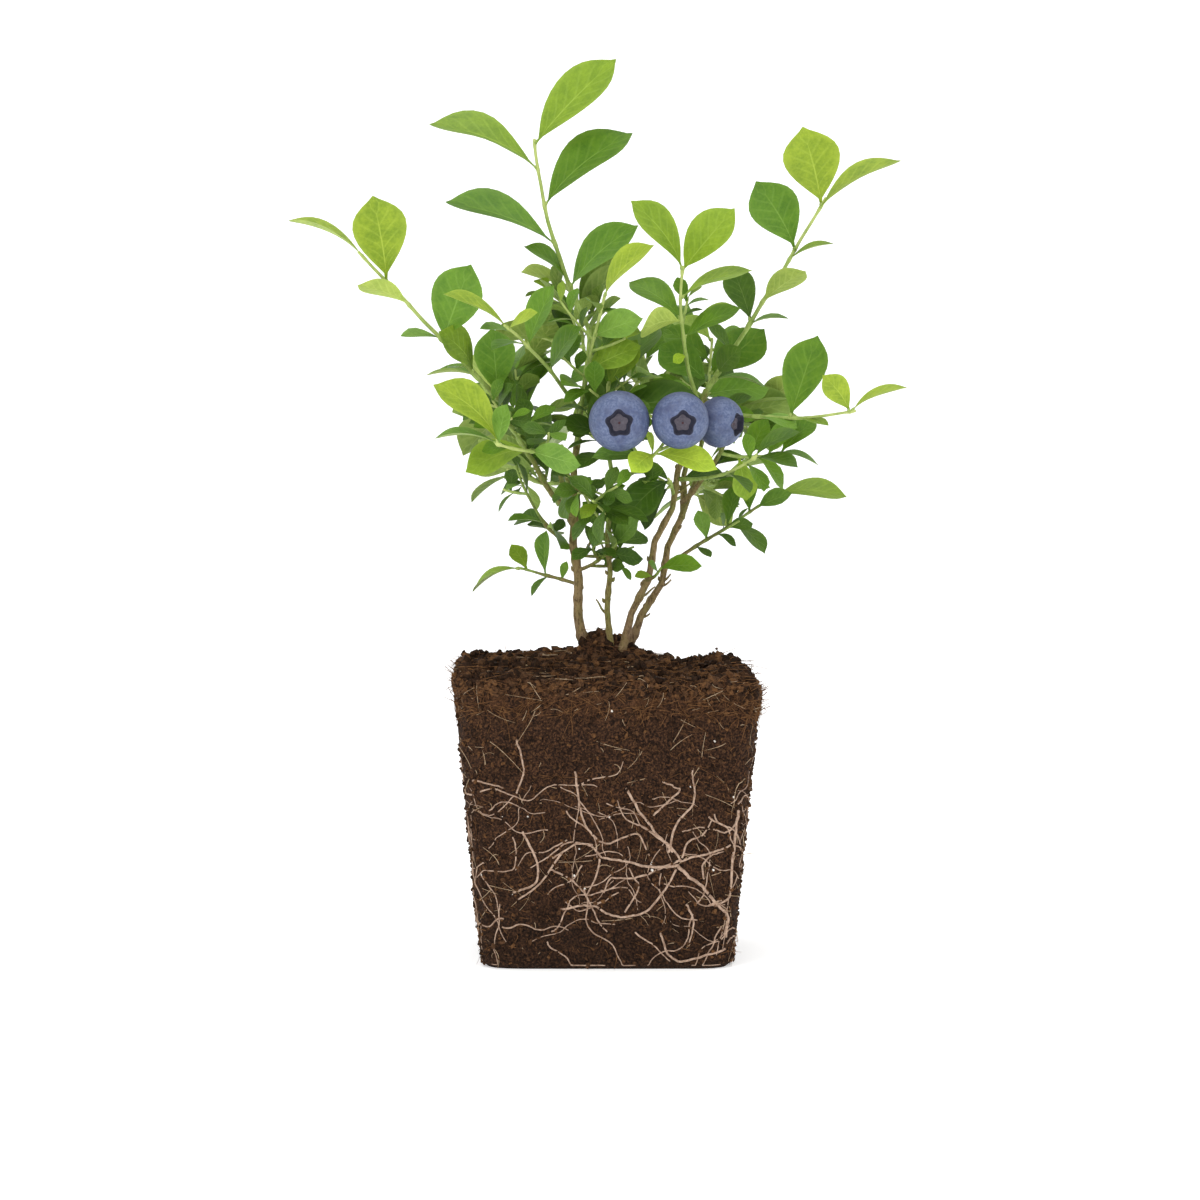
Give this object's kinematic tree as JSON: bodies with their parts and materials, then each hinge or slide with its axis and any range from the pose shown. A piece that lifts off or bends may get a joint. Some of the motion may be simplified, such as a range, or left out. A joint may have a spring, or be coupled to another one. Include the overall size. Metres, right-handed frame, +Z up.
{
  "type": "blueberry bush on its root ball",
  "caption": "Young blueberry bush lifted out of its pot: leafy shoots on thin stems, ripe berries, and a square block of rooted peat that it stands on.",
  "frame": {"origin": "centre of the root ball's flat underside", "axes": "+Z up along the stems, -Y towards the side that carries the ripe berries"},
  "size_m": [0.1765, 0.124, 0.2584],
  "materials": {
    "peat": "crumbly, matt",
    "bark": "rough, matt",
    "foliage": "satin",
    "berry": "waxy bloom, matt"
  },
  "bodies": {
    "root": {"stem_left": "bark", "stem_middle": "bark", "stem_right_front": "bark", "stem_right_back": "bark", "bough_top": "bark", "bough_left": "bark", "bough_front": "bark", "bough_back_left": "bark", "bough_back_right": "bark", "bough_right": "bark", "root_ball": "peat", "berry_truss": "berry", "leaves_top": "foliage", "leaves_far_left": "foliage", "leaves_left_high": "foliage", "leaves_centre": "foliage", "leaves_left": "foliage", "leaves_low_left": "foliage", "leaves_left_low": "foliage", "leaves_right_high": "foliage", "leaves_far_right": "foliage", "leaves_right": "foliage", "leaves_right_mid": "foliage", "leaves_low_right": "foliage", "leaves_stem_foot": "foliage", "leaves_fork": "foliage", "leaves_fork_left": "foliage", "leaves_middle_low": "foliage", "leaves_middle": "foliage", "leaves_back_left": "foliage", "leaves_back_left_low": "foliage", "leaves_back_high": "foliage", "leaves_back_centre": "foliage", "leaves_back_right": "foliage", "leaves_back_right_low": "foliage", "leaves_right_back": "foliage", "leaves_front_left": "foliage", "leaves_front_low": "foliage", "leaves_front_right": "foliage"}
  },
  "joints": []
}
